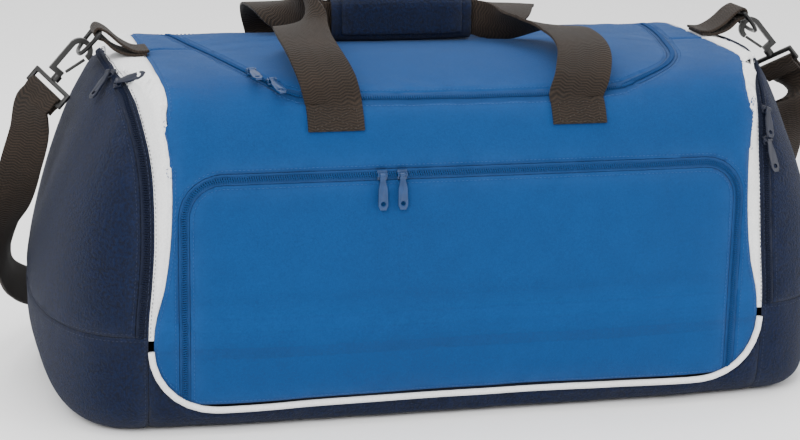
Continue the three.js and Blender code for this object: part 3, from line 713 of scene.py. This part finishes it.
def webbing(stations, steps, cross=8, bow=0.0):
    """A flat strip bent along a curve, with its cloth map in metres. Each row is a place, a way across, a width."""
    bm = bmesh.new()
    bmesh.ops.create_grid(bm, x_segments=steps, y_segments=cross, size=0.5)
    flat = verts_of(bm)
    flat = (flat - flat.min(axis=0)) / np.maximum(flat.max(axis=0) - flat.min(axis=0), 1e-9)
    u, v = flat[:, 0], flat[:, 1] - 0.5
    centre = along_curve(stations, u)
    tangent = along_curve(stations, np.minimum(u + 1e-4, 1)) - along_curve(stations, np.maximum(u - 1e-4, 0))
    tangent /= np.linalg.norm(tangent, axis=1, keepdims=True)
    last = len(stations) - 1
    k = np.minimum((u * last).astype(int), last - 1)
    w = u * last - k
    ways = np.array([row[3] for row in stations], float)
    ways /= np.linalg.norm(ways, axis=1, keepdims=True)
    widths = np.array([row[4] for row in stations], float) * MM
    across = ways[k] * (1 - w)[:, None] + ways[k + 1] * w[:, None]
    width = widths[k] * (1 - w) + widths[k + 1] * w
    across -= tangent * (across * tangent).sum(axis=1, keepdims=True)
    across /= np.linalg.norm(across, axis=1, keepdims=True)
    up = np.cross(tangent, across)
    places = centre + across * (v * width)[:, None] + up * (bow * (0.25 - v**2) * 4)[:, None]
    fine = np.linspace(0, 1, 400)
    walked = along_curve(stations, fine)
    run = np.concatenate([[0], np.cumsum(np.linalg.norm(np.diff(walked, axis=0), axis=1))])
    uv = bm.loops.layers.uv.new("cloth")
    bm.verts.index_update()
    for vert, place in zip(bm.verts, places):
        vert.co = place
    flat = np.stack([np.interp(u, fine, run), v * width], axis=1)
    for face in bm.faces:
        for corner in face.loops:
            corner[uv].uv = flat[corner.vert.index]
    bm.normal_update()
    return bm


def thick(obj, thickness, edge=0.0006):
    """Gives a strip its thickness both ways and softens its edges."""
    solid = obj.modifiers.new("Thickness", "SOLIDIFY")
    solid.thickness, solid.offset = thickness, 0
    soft = obj.modifiers.new("Soft edge", "BEVEL")
    soft.width, soft.segments, soft.limit_method = edge, 2, "ANGLE"
    soft.angle_limit = math.radians(50)
    return obj


def sewn_rows(x, heights, lift=1.8):
    """Stations of webbing lying on the front of the bag, at x, for each height."""
    rows = []
    for z in heights:
        spot, normal, _, _ = FORM["pattern"].find_nearest(Vector((x * MM, -HALF_DEPTH * MM, z * MM)))
        front = on_pattern(np.array([0.0]), np.array([front_angle(z)]))[0]
        way = Vector((0, normal.y, normal.z)).normalized()
        rows.append((x, front[1] / MM + way.y * lift, front[2] / MM + way.z * lift, (1, 0, 0), 50))
    return rows


def front_angle(z):
    return math.asin(min(1.0, ((z - WAIST) / RISE) ** 2.4))


GRIP_Z = 342
LEGS = (-121, 102)
OVER_TOP = (
    (-126, -148.5, 311, (1, 0, 0), 50),
    (-133, -131, 330, (1, 0.1, 0), 50),
    (-137, -94, 343, (1, 0.35, 0.05), 50),
    (-132, -52, 348, (0.8, 0.75, 0.2), 50),
    (-116, -20, 344, (0.2, 0.8, 0.7), 42),
    (-99, -7, GRIP_Z, (0, 0.05, 1), 33),
    (-80, -5, GRIP_Z, (0, 0, 1), 33),
    (-40, -5, GRIP_Z, (0, 0, 1), 33),
    (0, -5, GRIP_Z, (0, 0, 1), 33),
    (30, -5, GRIP_Z, (0, 0, 1), 33),
    (46, -7, GRIP_Z - 0.5, (0, 0, 1), 33),
    (70, -17, 336, (-0.1, -0.7, 0.75), 42),
    (96, -38, 340, (-0.65, -0.8, 0.3), 50),
    (114, -78, 340, (-1, -0.45, 0), 50),
    (117, -122, 330, (-1, -0.1, 0), 50),
    (108, -148, 311, (-1, 0, 0), 50),
)
STRAP_ROUTE = (
    (-377, -22, 246, (0.8, -0.45, -0.4), 38),
    (-386, -22, 214, (0.97, -0.1, -0.2), 38),
    (-394, -14, 180, (0.95, 0.3, 0), 38),
    (-401, 6, 146, (0.7, 0.6, 0.4), 38),
    (-400, 42, 108, (0.3, 0.5, 0.8), 38),
    (-390, 96, 74, (0.05, 0.4, 0.9), 38),
    (-357, 165, 42, (0, 0, 1), 38),
    (-300, 214, 24, (-0.1, 0.5, 0.85), 38),
    (-226, 240, 8, (0, 0.95, 0.3), 38),
    (-140, 246, 2, (0, 1, 0), 38),
    (60, 248, 2, (0, 1, 0), 38),
    (150, 246, 2, (0, 1, 0), 38),
    (236, 242, 8, (0, 0.95, 0.3), 38),
    (306, 218, 24, (0.1, 0.5, 0.85), 38),
    (358, 176, 46, (0, 0, 1), 38),
    (388, 126, 84, (-0.1, -0.1, 0.9), 38),
    (399, 92, 122, (-0.5, -0.3, 0.7), 38),
    (402, 68, 156, (-0.9, -0.4, 0.1), 38),
    (400, 48, 194, (-0.95, -0.2, 0.1), 38),
    (394, 34, 228, (-0.9, 0.1, 0.3), 38),
)
STRAP_END = ((12, 2.6), (7, 2.6), (0, 3.8), (-4.1, 1.9), (-4.1, -1.9), (0, -3.8), (7, -2.6), (16, -2.6))
TAB_ROUTE = (
    (-43, -20.1),
    (-27, -20.1),
    (-14, -15.3),
    (-4, -6.5),
    (1.5, -4.3),
    (4.2, 0),
    (1.4, 4.2),
    (-6, 1.5),
    (-20, -10.5),
    (-33, -17.2),
    (-45, -17.2),
)


def joint(name):
    return next(j for j in RECORD["behaviour"]["joints"] if j["name"] == name)


def strap_end(side):
    """Stations of the strap folded round the rod of its loop."""
    name = "left" if side < 0 else "right"
    swivel = joint(f"{name}_loop_swivel")
    out = Vector(swivel["axis"])
    origin = Vector(swivel["pos_m"]) / MM
    inward = Vector((side * out.z, 0, -side * out.x)) * 1.0
    flat = out.cross(Vector((0, 1, 0))).normalized()
    spin = Matrix.Rotation(0.75, 3, out)
    thin = spin @ (Vector((0, 1, 0)) * (1 if side < 0 else -1))
    wide = out.cross(thin)
    rod = origin + out * 50.5
    del inward, flat
    return [(*(rod + out * u + thin * n), tuple(wide), 38) for u, n in STRAP_END]


# ------------------------------------------------------------------ hard parts
def refined(node, width, sharp=32, segments=2, smooth=0):
    """A hard part's own mesh with its edges rounded."""
    bm = bmesh.new()
    bm.from_mesh(NODES[node].data)
    bmesh.ops.remove_doubles(bm, verts=bm.verts, dist=1e-5)
    bmesh.ops.dissolve_limit(bm, angle_limit=math.radians(1), verts=bm.verts, edges=bm.edges)
    corners = [e for e in bm.edges if len(e.link_faces) == 2 and e.calc_face_angle() > math.radians(sharp)]
    if width:
        bmesh.ops.bevel(
            bm,
            geom=corners,
            offset=width,
            affect="EDGES",
            segments=segments,
            profile=0.5,
            material=-1,
            clamp_overlap=True,
        )
    if smooth:
        bmesh.ops.triangulate(bm, faces=[f for f in bm.faces if len(f.verts) > 4])
        bmesh.ops.subdivide_edges(bm, edges=bm.edges, cuts=smooth, use_grid_fill=True, smooth=0.6)
    bm.normal_update()
    return piece(node + "_part", bm, node, stands_for=(node,))


def crumpled(node, cell, depth):
    """A thin inner layer: its own mesh, cut fine and softly creased."""
    bm = bmesh.new()
    bm.from_mesh(NODES[node].data)
    bmesh.ops.remove_doubles(bm, verts=bm.verts, dist=2e-5)
    sliced(bm, cell)
    bm.normal_update()
    for v in bm.verts:
        v.co += v.normal * depth * noise.noise(v.co * 22)
    uv = bm.loops.layers.uv.new("cloth")
    for face in bm.faces:
        for corner in face.loops:
            co = corner.vert.co
            corner[uv].uv = (co.x + co.y * 0.7, co.z + co.y * 0.7)
    bmesh.ops.triangulate(bm, faces=[f for f in bm.faces if len(f.verts) > 4])
    return piece(node + "_cloth", bm, node, stands_for=(node,))


# ------------------------------------------------------------------ operators
class BagOperator(bpy.types.Operator):
    """One step of making the bag."""

    bl_options = {"REGISTER", "UNDO"}


class BAG_OT_form(BagOperator):
    """Fill the bag's pattern so that its panels have something to lie on."""

    bl_idname = "bag.form"
    bl_label = "Fill the form"

    def execute(self, context):
        make_form()
        return {"FINISHED"}


PANELS = (
    "front_panel",
    "back_panel",
    "top_flap",
    "front_pocket_panel",
    "base_panel",
    "left_side_strip",
    "right_side_strip",
    "left_end_panel",
    "right_end_panel",
    "left_end_door",
    "right_end_door",
)


class BAG_OT_panels(BagOperator):
    """Lay the sewn panels on the filled form."""

    bl_idname = "bag.panels"
    bl_label = "Panels"

    def execute(self, context):
        s = context.scene.bag_sizes
        for node in PANELS:
            bm = laid(node, s.cell, s.dip, s.roll)
            cut = bm.loops.layers.uv["cloth"]
            flat = np.array([corner[cut].uv for face in bm.faces for corner in face.loops])
            area = sum(face.calc_area() for face in bm.faces)
            wide, long = flat.max(axis=0) - flat.min(axis=0)
            obj = piece(node + "_cloth", bm, node, stands_for=(node,), wall=s.wall)
            print(node, round(wide, 3), round(long, 3), round(area, 4), round(area / wide / long, 3))
            if node != "front_panel":  # the front panel is left out; the value computed for the others is not kept
                max(long, area / wide)
        return {"FINISHED"}


ZIPS = {
    "main": ("main_zip_flap_tape", "main_zip_body_tape"),
    "pocket": ("front_zip_panel_tape", "front_zip_body_tape"),
    "left_end": ("left_zip_door_tape", "left_zip_body_tape"),
    "right_end": ("right_zip_door_tape", "right_zip_body_tape"),
}


class BAG_OT_zips(BagOperator):
    """Sew in the zip tapes and set their teeth."""

    bl_idname = "bag.zips"
    bl_label = "Zips"

    def execute(self, context):
        s = context.scene.bag_sizes
        tooth = small_shape((s.tooth * 0.62, 0.0026, 0.0019), 1)
        for name, tapes in ZIPS.items():
            for node in tapes:
                bm = laid(node, s.cell, 0.0, 0.0, lower=0.0009)
                piece(node + "_cloth", bm, node, stands_for=(node,), wall=0.0012)
            for order, node in enumerate(tapes):
                other = tapes[1 - order]
                runs = [beside(run, SHEETS[other]) for run in SEAMS[node]]
                run = max(runs, key=lambda r: len(r[0]))
                points, normals, across = resampled(run, s.tooth, order * s.tooth / 2)
                rows = points + across * 0.0008 + normals * 0.0010
                teeth = repeated(tooth, (rows, normals, across))
                piece(f"{name}_teeth_{order + 1}", teeth, node)
        bpy.data.meshes.remove(tooth)
        return {"FINISHED"}


class BAG_OT_piping(BagOperator):
    """Run the round piping along the bottom of the front and back."""

    bl_idname = "bag.piping"
    bl_label = "Piping"

    def execute(self, context):
        s = context.scene.bag_sizes
        for face in ("front", "back"):
            node = f"{face}_piping"
            bm = laid(node, s.cell, 0.0, 0.0)
            bm.free()
            stretches = [beside(run, SHEETS["base_panel"], 0.006) for run in SEAMS[node]]
            run = max(stretches, key=lambda stretch: len(stretch[0]))
            points, normals, across = resampled(run, 0.004)
            rows = points + across * 0.0024 + normals * 0.0002
            curve = bpy.data.curves.new(node, "CURVE")
            curve.dimensions = "3D"
            curve.bevel_depth, curve.bevel_resolution, curve.use_fill_caps = s.piping, 3, True
            spline = curve.splines.new("POLY")
            spline.points.add(len(rows) - 1)
            for point, row in zip(spline.points, rows):
                point.co = (*row, 1)
            cord = bpy.data.objects.new(node, curve)
            bpy.context.collection.objects.link(cord)
            graph = bpy.context.evaluated_depsgraph_get()
            mesh = bpy.data.meshes.new_from_object(cord.evaluated_get(graph))
            bpy.data.objects.remove(cord)
            bm = bmesh.new()
            bm.from_mesh(mesh)
            bmesh.ops.remove_doubles(bm, verts=bm.verts, dist=1e-5)
            uv = bm.loops.layers.uv.new("cloth")
            for f in bm.faces:
                for corner in f.loops:
                    co = corner.vert.co
                    corner[uv].uv = (co.x + co.z, co.y - co.z)
            piece(node + "_cord", bm, node, stands_for=(node,))
        return {"FINISHED"}


class BAG_OT_handles(BagOperator):
    """Make the two webbing handles and sew them down."""

    bl_idname = "bag.handles"
    bl_label = "Handles"

    def execute(self, context):
        s = context.scene.bag_sizes
        up = sewn_rows(LEGS[0], (269, 275, 281, 287, 291))
        down = [(x, y, z, (-1, 0, 0), w) for x, y, z, _, w in reversed(sewn_rows(LEGS[1], (269, 275, 281, 287, 291)))]
        front = [*up, *OVER_TOP, *down]
        shifted = range(len(up) + 11, len(up) + 14)
        back = [
            (x - (10 if i in shifted else 0), -y, z, (d[0], -d[1], d[2]), w)
            for i, (x, y, z, d, w) in enumerate(front)
        ]
        for face, stations, sign in (("front", front, -1), ("back", back, 1)):
            node = f"{face}_handle"
            y = stations[4][1] * MM
            obj = piece(
                node + "_webbing",
                webbing(stations, 230, bow=0.0006),
                node,
                stands_for=(node, f"{node}_left_end", f"{node}_right_end"),
                fold=((0, y, 0.287), (0, y, 0.299)),
            )
            thick(obj, s.webbing)
            template = small_shape((s.stitch * 0.72, s.thread, s.thread))
            rows = []
            for x in LEGS:
                box = [(-19, 270.5), (19, 270.5), (19, 286), (-19, 286), (-19, 270.5), (19, 286), (19, 270.5), (-19, 286)]
                for (x0, z0), (x1, z1) in zip(box, box[1:]):
                    n = max(3, int(math.hypot(x1 - x0, z1 - z0) * MM / s.stitch))
                    for i in range(n):
                        t = (i + 0.5) / n
                        row = sewn_rows(x + x0 + (x1 - x0) * t, (z0 + (z1 - z0) * t,), 3.1)[0]
                        ahead = sewn_rows(x + x0 + (x1 - x0) * (t + 0.01), (z0 + (z1 - z0) * (t + 0.01),), 3.1)[0]
                        rows.append((row[:3], ahead[:3]))
            bm = bmesh.new()
            for here, ahead in rows:
                here, ahead = (Vector((p[0], -p[1] * sign, p[2])) * MM for p in (here, ahead))
                t = (ahead - here).normalized()
                n = Vector((0, sign, 0.25)).normalized()
                side = n.cross(t).normalized()
                m = Matrix((t, side, t.cross(side))).transposed().to_4x4()
                m.translation = here
                template.transform(m)
                bm.from_mesh(template)
                template.transform(m.inverted())
            bpy.data.meshes.remove(template)
            piece(node + "_stitches", bm, f"{node}_left_end", slot="webbing_thread")
        return {"FINISHED"}


class BAG_OT_grip(BagOperator):
    """Pad the wrapped grip and its closing flap."""

    bl_idname = "bag.grip"
    bl_label = "Grip"

    def execute(self, context):
        for node, cell, depth in (("grip_wrap", 0.0035, 0.0008), ("grip_flap", 0.003, 0.0005)):
            bm = bmesh.new()
            bm.from_mesh(NODES[node].data)
            bmesh.ops.remove_doubles(bm, verts=bm.verts, dist=2e-5)
            sliced(bm, cell)
            bmesh.ops.triangulate(bm, faces=[f for f in bm.faces if len(f.verts) > 4])
            bmesh.ops.smooth_vert(bm, verts=bm.verts, factor=0.35, use_axis_x=False, use_axis_y=True, use_axis_z=True)
            bm.normal_update()
            low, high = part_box(node)
            for v in bm.verts:
                along = (v.co.x - low[0]) / (high[0] - low[0])
                crown = math.sin(math.pi * along) ** 0.5
                ripple = noise.noise(Vector((v.co.x * 40, v.co.y * 30, v.co.z * 30)))
                v.co += v.normal * (0.0012 * crown + depth * ripple)
            seam = bm.verts.layers.float.new("seam")
            uv = bm.loops.layers.uv.new("cloth")
            for v in bm.verts:
                v[seam] = math.exp(-min(v.co.x - low[0], high[0] - v.co.x) / 0.006)
            for face in bm.faces:
                for corner in face.loops:
                    co = corner.vert.co
                    corner[uv].uv = (co.x, math.atan2(co.y, co.z - GRIP_Z * MM) * 0.019)
            obj = piece(node + "_pad", bm, node, stands_for=(node,))
        return {"FINISHED"}


class BAG_OT_strap(BagOperator):
    """Make the shoulder strap and the tabs that hold its rings."""

    bl_idname = "bag.strap"
    bl_label = "Strap and tabs"

    def execute(self, context):
        s = context.scene.bag_sizes
        left, right = strap_end(-1), strap_end(1)
        turned = [(x, y, z, tuple(-Vector(d)), w) for x, y, z, d, w in reversed(right)]
        obj = piece(
            "shoulder_strap_webbing",
            webbing([*left, *STRAP_ROUTE, *turned], 420),
            "shoulder_strap",
            stands_for=("shoulder_strap",),
        )
        thick(obj, s.webbing)
        for side, name in ((-1, "left"), (1, "right")):
            bar = Vector(joint(f"{name}_ring_pivot")["pos_m"]) / MM
            rows = [(bar.x + side * x, bar.y, bar.z + z, (0, 1, 0), 36) for x, z in TAB_ROUTE]
            tab = piece(f"{name}_tab_webbing", webbing(rows, 70), f"{name}_tab", stands_for=(f"{name}_tab",))
            thick(tab, s.webbing)
        return {"FINISHED"}


class BAG_OT_hardware(BagOperator):
    """Round off the sliders, pulls, rings, hooks and loops."""

    bl_idname = "bag.hardware"
    bl_label = "Hardware"

    def execute(self, context):
        for node in sorted(NODES):
            if node.endswith(("_slider", "_pull")):
                refined(node, 0.0004)
            elif node.endswith("_d_ring"):
                refined(node, 0.0, smooth=1)
            elif node.endswith(("_hook", "_strap_loop")):
                refined(node, 0.0009, segments=3)
            elif node.endswith("_gate"):
                refined(node, 0.0006)
        return {"FINISHED"}


class BAG_OT_linings(BagOperator):
    """Line the pockets and cover the base board."""

    bl_idname = "bag.linings"
    bl_label = "Linings"

    def execute(self, context):
        for node in ("front_pocket_lining", "left_end_lining", "right_end_lining"):
            crumpled(node, 0.014, 0.0002)
        crumpled("base_board", 0.02, 0.0)
        return {"FINISHED"}


class BAG_OT_stitching(BagOperator):
    """Topstitch the panels beside their seams."""

    bl_idname = "bag.stitching"
    bl_label = "Topstitching"

    def execute(self, context):
        for node, slot in (
            ("front_pocket_panel", "royal_thread"),
            ("front_panel", "royal_thread"),
            ("back_panel", "royal_thread"),
            ("top_flap", "royal_thread"),
            ("left_side_strip", "white_thread"),
            ("right_side_strip", "white_thread"),
            ("left_end_door", "navy_thread"),
            ("right_end_door", "navy_thread"),
            ("left_end_panel", "navy_thread"),
            ("right_end_panel", "navy_thread"),
        ):
            stitched(node + "_stitches", node, 0.0032, slot)
        return {"FINISHED"}


class BAG_OT_stage(BagOperator):
    """Set the floor, the lights and the camera."""

    bl_idname = "bag.stage"
    bl_label = "Stage"

    def execute(self, context):
        scene = context.scene
        bm = bmesh.new()
        bmesh.ops.create_grid(bm, x_segments=4, y_segments=4, size=9)
        mesh = bpy.data.meshes.new("floor")
        bm.to_mesh(mesh)
        bm.free()
        floor = bpy.data.objects.new("floor", mesh)
        mesh.materials.append(floor_finish(tuple(scene.bag_colours.floor)))
        scene.collection.objects.link(floor)
        world = bpy.data.worlds.new("studio")
        scene.world = world
        world.use_nodes = True
        world.node_tree.nodes["Background"].inputs[0].default_value = (1, 1, 1, 1)
        world.node_tree.nodes["Background"].inputs[1].default_value = 1.25
        for name, place, aim, size, energy in (
            ("key", (-1.7, -2.4, 2.4), (0, 0, 0.15), 2.2, 110),
            ("fill", (2.6, -2.0, 1.3), (0.1, 0, 0.15), 2.4, 40),
            ("top", (0.1, 0.3, 2.6), (0, 0, 0.2), 2.0, 44),
        ):
            light = bpy.data.lights.new(name, "AREA")
            light.energy, light.size = energy, size
            lamp = bpy.data.objects.new(name, light)
            lamp.location = place
            lamp.rotation_euler = (Vector(aim) - Vector(place)).to_track_quat("-Z", "Y").to_euler()
            scene.collection.objects.link(lamp)
        data = bpy.data.cameras.new("camera")
        data.sensor_width, data.lens = 36, 90.45
        camera = bpy.data.objects.new("camera", data)
        yaw, pitch, roll = (math.radians(a) for a in (13.85, 14.67, 1.10))
        ahead = Vector((math.sin(yaw) * math.cos(pitch), math.cos(yaw) * math.cos(pitch), -math.sin(pitch)))
        right = Vector((math.cos(yaw), -math.sin(yaw), 0))
        up = right.cross(ahead)
        right, up = right * math.cos(roll) + up * math.sin(roll), up * math.cos(roll) - right * math.sin(roll)
        turn = Matrix((right, up, -ahead)).transposed().to_4x4()
        turn.translation = Vector((-0.476, -1.841, 0.639))
        camera.matrix_world = turn
        scene.collection.objects.link(camera)
        scene.camera = camera
        return {"FINISHED"}


STEPS = (
    BAG_OT_stage,
    BAG_OT_form,
    BAG_OT_panels,
    BAG_OT_zips,
    BAG_OT_piping,
    BAG_OT_handles,
    BAG_OT_grip,
    BAG_OT_strap,
    BAG_OT_hardware,
    BAG_OT_linings,
    BAG_OT_stitching,
)


class BAG_PT_maker(bpy.types.Panel):
    """The bag's sizes, colours and steps."""

    bl_label = "Duffel bag"
    bl_space_type = "VIEW_3D"
    bl_region_type = "UI"
    bl_category = "Duffel bag"

    def draw(self, context):
        for group in (context.scene.bag_sizes, context.scene.bag_colours):
            for name in group.__annotations__:
                self.layout.prop(group, name)
        for step in STEPS:
            self.layout.operator(step.bl_idname)


CLASSES = (BagSizes, BagColours, *STEPS, BAG_PT_maker)


def register():
    for cls in CLASSES:
        bpy.utils.register_class(cls)
    bpy.types.Scene.bag_sizes = PointerProperty(type=BagSizes)
    bpy.types.Scene.bag_colours = PointerProperty(type=BagColours)


def unregister():
    del bpy.types.Scene.bag_sizes, bpy.types.Scene.bag_colours
    for cls in reversed(CLASSES):
        bpy.utils.unregister_class(cls)


def main():
    register()
    for step in STEPS:
        group, name = step.bl_idname.split(".")
        getattr(getattr(bpy.ops, group), name)()


if __name__ == "__main__":
    main()
